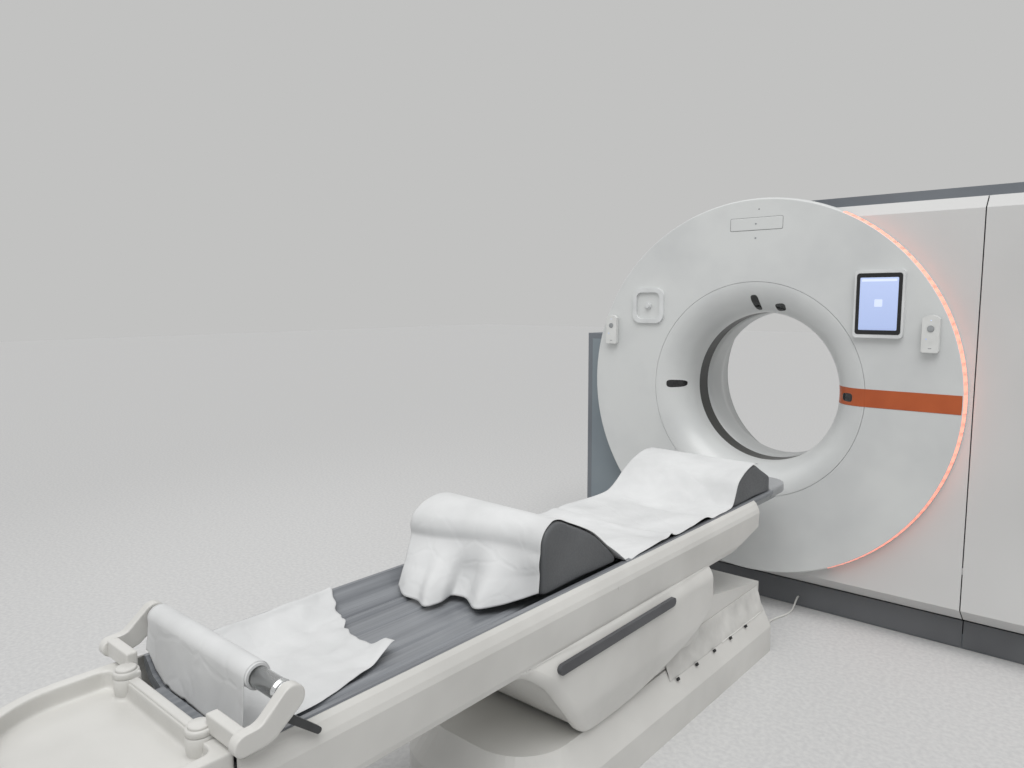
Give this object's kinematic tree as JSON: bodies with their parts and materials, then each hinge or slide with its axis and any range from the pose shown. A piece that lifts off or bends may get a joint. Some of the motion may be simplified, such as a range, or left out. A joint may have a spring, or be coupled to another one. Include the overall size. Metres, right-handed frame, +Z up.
{
  "type": "ct scanner",
  "caption": "Computed tomography scanner: a ring-shaped gantry with a rotating measuring unit inside, and a lifting patient table whose cradle slides into the bore.",
  "frame": {"origin": "on the floor, straight below the isocentre, where the bore axis crosses the scan plane", "axes": "+X to the right as seen from the table, +Y into the gantry along the bore axis, +Z up"},
  "size_m": [2.28, 3.77, 1.8609],
  "materials": {
    "frame_steel": "satin",
    "bearing_steel": "satin",
    "black_moulding": "matte",
    "motor_grey": "satin",
    "belt_rubber": "matte",
    "tube_housing": "satin",
    "collimator_metal": "satin",
    "detector_black": "satin",
    "cabinet_slate": "satin",
    "slip_brass": "satin",
    "cover_white": "semi gloss",
    "light_strip": "gloss",
    "window_dark": "satin",
    "panel_white": "semi gloss",
    "left_slate": "satin",
    "plinth_grey": "satin",
    "stripe_orange": "satin",
    "sensor_glass": "gloss",
    "dock_white": "semi gloss",
    "tablet_glass": "gloss",
    "remote_white": "semi gloss",
    "key_grey": "satin",
    "plate_steel": "satin",
    "skirt_cloth": "matte",
    "clip_black": "satin",
    "cable_white": "satin",
    "strip_grey": "satin",
    "beam_aluminium": "satin",
    "cradle_carbon": "satin",
    "support_foam": "satin",
    "sheet_paper": "matte",
    "lever_black": "satin"
  },
  "bodies": {
    "frame": {"base_frame": "frame_steel", "stator_frame": "frame_steel", "outer_race": "bearing_steel", "brush_block": "black_moulding", "drive_motor": "motor_grey", "drive_belt": "belt_rubber", "power_cabinet": "cabinet_slate", "front_cover": "cover_white", "light_ring": "light_strip", "front_funnel": "cover_white", "scan_window": "window_dark", "rear_funnel": "cover_white", "rear_cover": "cover_white", "core_cover": "cabinet_slate", "side_panel": "panel_white", "cabinet_panel": "panel_white", "left_panel": "left_slate", "plinth_panels": "plinth_grey", "accent_stripe": "stripe_orange", "sensor_windows": "sensor_glass", "tablet_dock": "dock_white", "tablet": "tablet_glass", "empty_dock": "dock_white", "remote_holders": "dock_white", "remotes": "remote_white", "base_cover": "cover_white", "base_plate": "plate_steel", "lower_cover": "cover_white", "outer_column": "plate_steel", "lift_motor": "black_moulding", "skirt": "skirt_cloth", "clips": "clip_black", "table_cable": "cable_white"},
    "rotor": {"rotor_drum": "bearing_steel", "x_ray_tube": "tube_housing", "collimator": "collimator_metal", "detector_arc": "detector_black", "generator": "cabinet_slate", "heat_exchanger": "tube_housing", "slip_ring": "slip_brass"},
    "pulley": {"motor_pulley": "bearing_steel"},
    "right_key": {"right_button": "key_grey"},
    "left_key": {"left_button": "key_grey"},
    "table_top_frame": {"inner_column": "plate_steel", "shell_cover": "panel_white", "side_strip": "strip_grey", "beam_frame": "beam_aluminium", "beam_covers": "panel_white", "beam_nose": "cover_white"},
    "telescope_cover": {"mid_cover": "panel_white"},
    "screw": {"lift_screw": "bearing_steel"},
    "cradle_top": {"cradle": "cradle_carbon", "head_support": "support_foam", "knee_support": "support_foam", "paper_sheets": "sheet_paper", "foot_tray": "cover_white", "roll_holder": "cover_white"},
    "roll": {"paper_roll": "sheet_paper"},
    "roll_arm": {"right_arm": "cover_white"},
    "lever": {"arm_lever": "lever_black"}
  },
  "joints": [
    {"name": "rotor_spin", "type": "hinge", "parent": "frame", "child": "rotor", "pos_m": [0, 0, 1.005], "axis": [0, 1, 0], "continuous": true},
    {"name": "pulley_spin", "type": "hinge", "parent": "frame", "child": "pulley", "pos_m": [0.76181, 0, 0.47157], "axis": [0, 1, 0], "continuous": true},
    {"name": "table_lift", "type": "slide", "parent": "frame", "child": "table_top_frame", "axis": [0, 0, 1], "range_m": [0, 0.3]},
    {"name": "cover_slide", "type": "slide", "parent": "frame", "child": "telescope_cover", "axis": [0, 0, 1], "range_m": [0, 0.1505]},
    {"name": "screw_spin", "type": "hinge", "parent": "frame", "child": "screw", "pos_m": [0, -1.5, 0], "axis": [0, 0, 1], "range_deg": [0, 5401]},
    {"name": "cradle_slide", "type": "slide", "parent": "table_top_frame", "child": "cradle_top", "axis": [0, 1, 0], "range_m": [0, 0.6005]},
    {"name": "roll_spin", "type": "hinge", "parent": "cradle_top", "child": "roll", "pos_m": [0, -2.8, 0.72], "axis": [1, 0, 0], "continuous": true},
    {"name": "arm_swing", "type": "hinge", "parent": "cradle_top", "child": "roll_arm", "pos_m": [0.155, -2.909, 0.66], "axis": [0, 0, -1], "range_deg": [0, 60]},
    {"name": "lever_turn", "type": "hinge", "parent": "roll_arm", "child": "lever", "pos_m": [0.274, -2.815, 0.69], "axis": [1, 0, 0], "range_deg": [0, 20]},
    {"name": "right_key_press", "type": "slide", "parent": "frame", "child": "right_key", "axis": [0, 1, 0], "range_m": [0, 0.0018], "stiffness_N_per_m": 400},
    {"name": "left_key_press", "type": "slide", "parent": "frame", "child": "left_key", "axis": [0, 1, 0], "range_m": [0, 0.0018], "stiffness_N_per_m": 400}
  ],
  "couplings": [
    {"joint": "pulley_spin", "follows": "rotor_spin", "ratio": 11.942},
    {"joint": "cover_slide", "follows": "table_lift", "ratio": 0.5},
    {"joint": "screw_spin", "follows": "table_lift", "rad_per_m": 314.16},
    {"joint": "cradle_slide", "follows": "table_lift", "ratio": 2}
  ]
}
